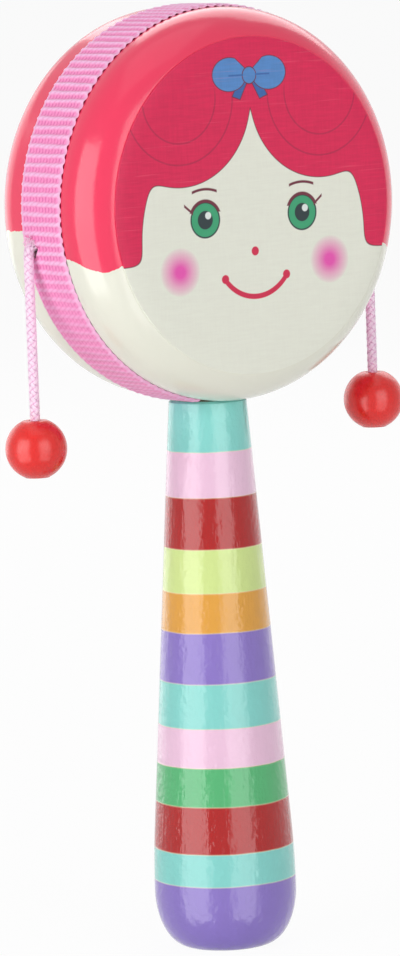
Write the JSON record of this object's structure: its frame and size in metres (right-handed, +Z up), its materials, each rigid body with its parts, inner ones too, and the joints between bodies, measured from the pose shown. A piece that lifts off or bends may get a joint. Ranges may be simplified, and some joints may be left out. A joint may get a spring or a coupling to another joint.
{
  "type": "pellet drum rattle",
  "caption": "Wooden pellet drum rattle: a round printed drum on a turned, band-painted handle, with a bead on a cord at each side that swings round to strike either drum head.",
  "frame": {"origin": "centre of the flat base of the handle, which the rattle stands on", "axes": "+Z up the handle to the drum, -Y out of the front drum head, +X to the right as seen from the front"},
  "size_m": [0.0888, 0.0344, 0.1819],
  "materials": {
    "drum_paint": "gloss lacquer over turned wood, red above and cream below",
    "printed_film": "satin printed film with a fine linen texture",
    "ribbon": "pink grosgrain ribbon with cross ribs",
    "handle_paint": "gloss lacquer over turned wood, painted in bands of several colours",
    "bare_wood": "bare beech",
    "cord": "braided pale pink cord",
    "bead_lacquer": "gloss red lacquer on a turned wooden bead"
  },
  "bodies": {
    "drum": {"front_shell": "drum_paint", "rear_shell": "drum_paint", "front_print": "printed_film", "rear_print": "printed_film", "ribbon": "ribbon", "handle": "handle_paint", "dowel": "bare_wood", "left_stopper_knot": "cord", "right_stopper_knot": "cord"},
    "left_cord": {"left_cord": "cord"},
    "left_bead": {"left_bead": "bead_lacquer", "left_bead_knot": "cord"},
    "right_cord": {"right_cord": "cord"},
    "right_bead": {"right_bead": "bead_lacquer", "right_bead_knot": "cord"}
  },
  "joints": [
    {"name": "left_fling", "type": "hinge", "parent": "drum", "child": "left_cord", "pos_m": [-0.03851, 0.0024, 0.13687], "axis": [0, 1, 0], "range_deg": [-15, 175], "deforming": ["left_cord"]},
    {"name": "left_strike", "type": "hinge", "parent": "left_cord", "child": "left_bead", "pos_m": [-0.03851, 0.0024, 0.13687], "axis": [-1, 0, 0], "range_deg": [-145, 135.1], "deforming": ["left_cord"]},
    {"name": "right_fling", "type": "hinge", "parent": "drum", "child": "right_cord", "pos_m": [0.03851, -0.0024, 0.13687], "axis": [0, -1, 0], "range_deg": [-15, 175], "deforming": ["right_cord"]},
    {"name": "right_strike", "type": "hinge", "parent": "right_cord", "child": "right_bead", "pos_m": [0.03851, -0.0024, 0.13687], "axis": [-1, 0, 0], "range_deg": [-130, 141.4], "deforming": ["right_cord"]}
  ]
}
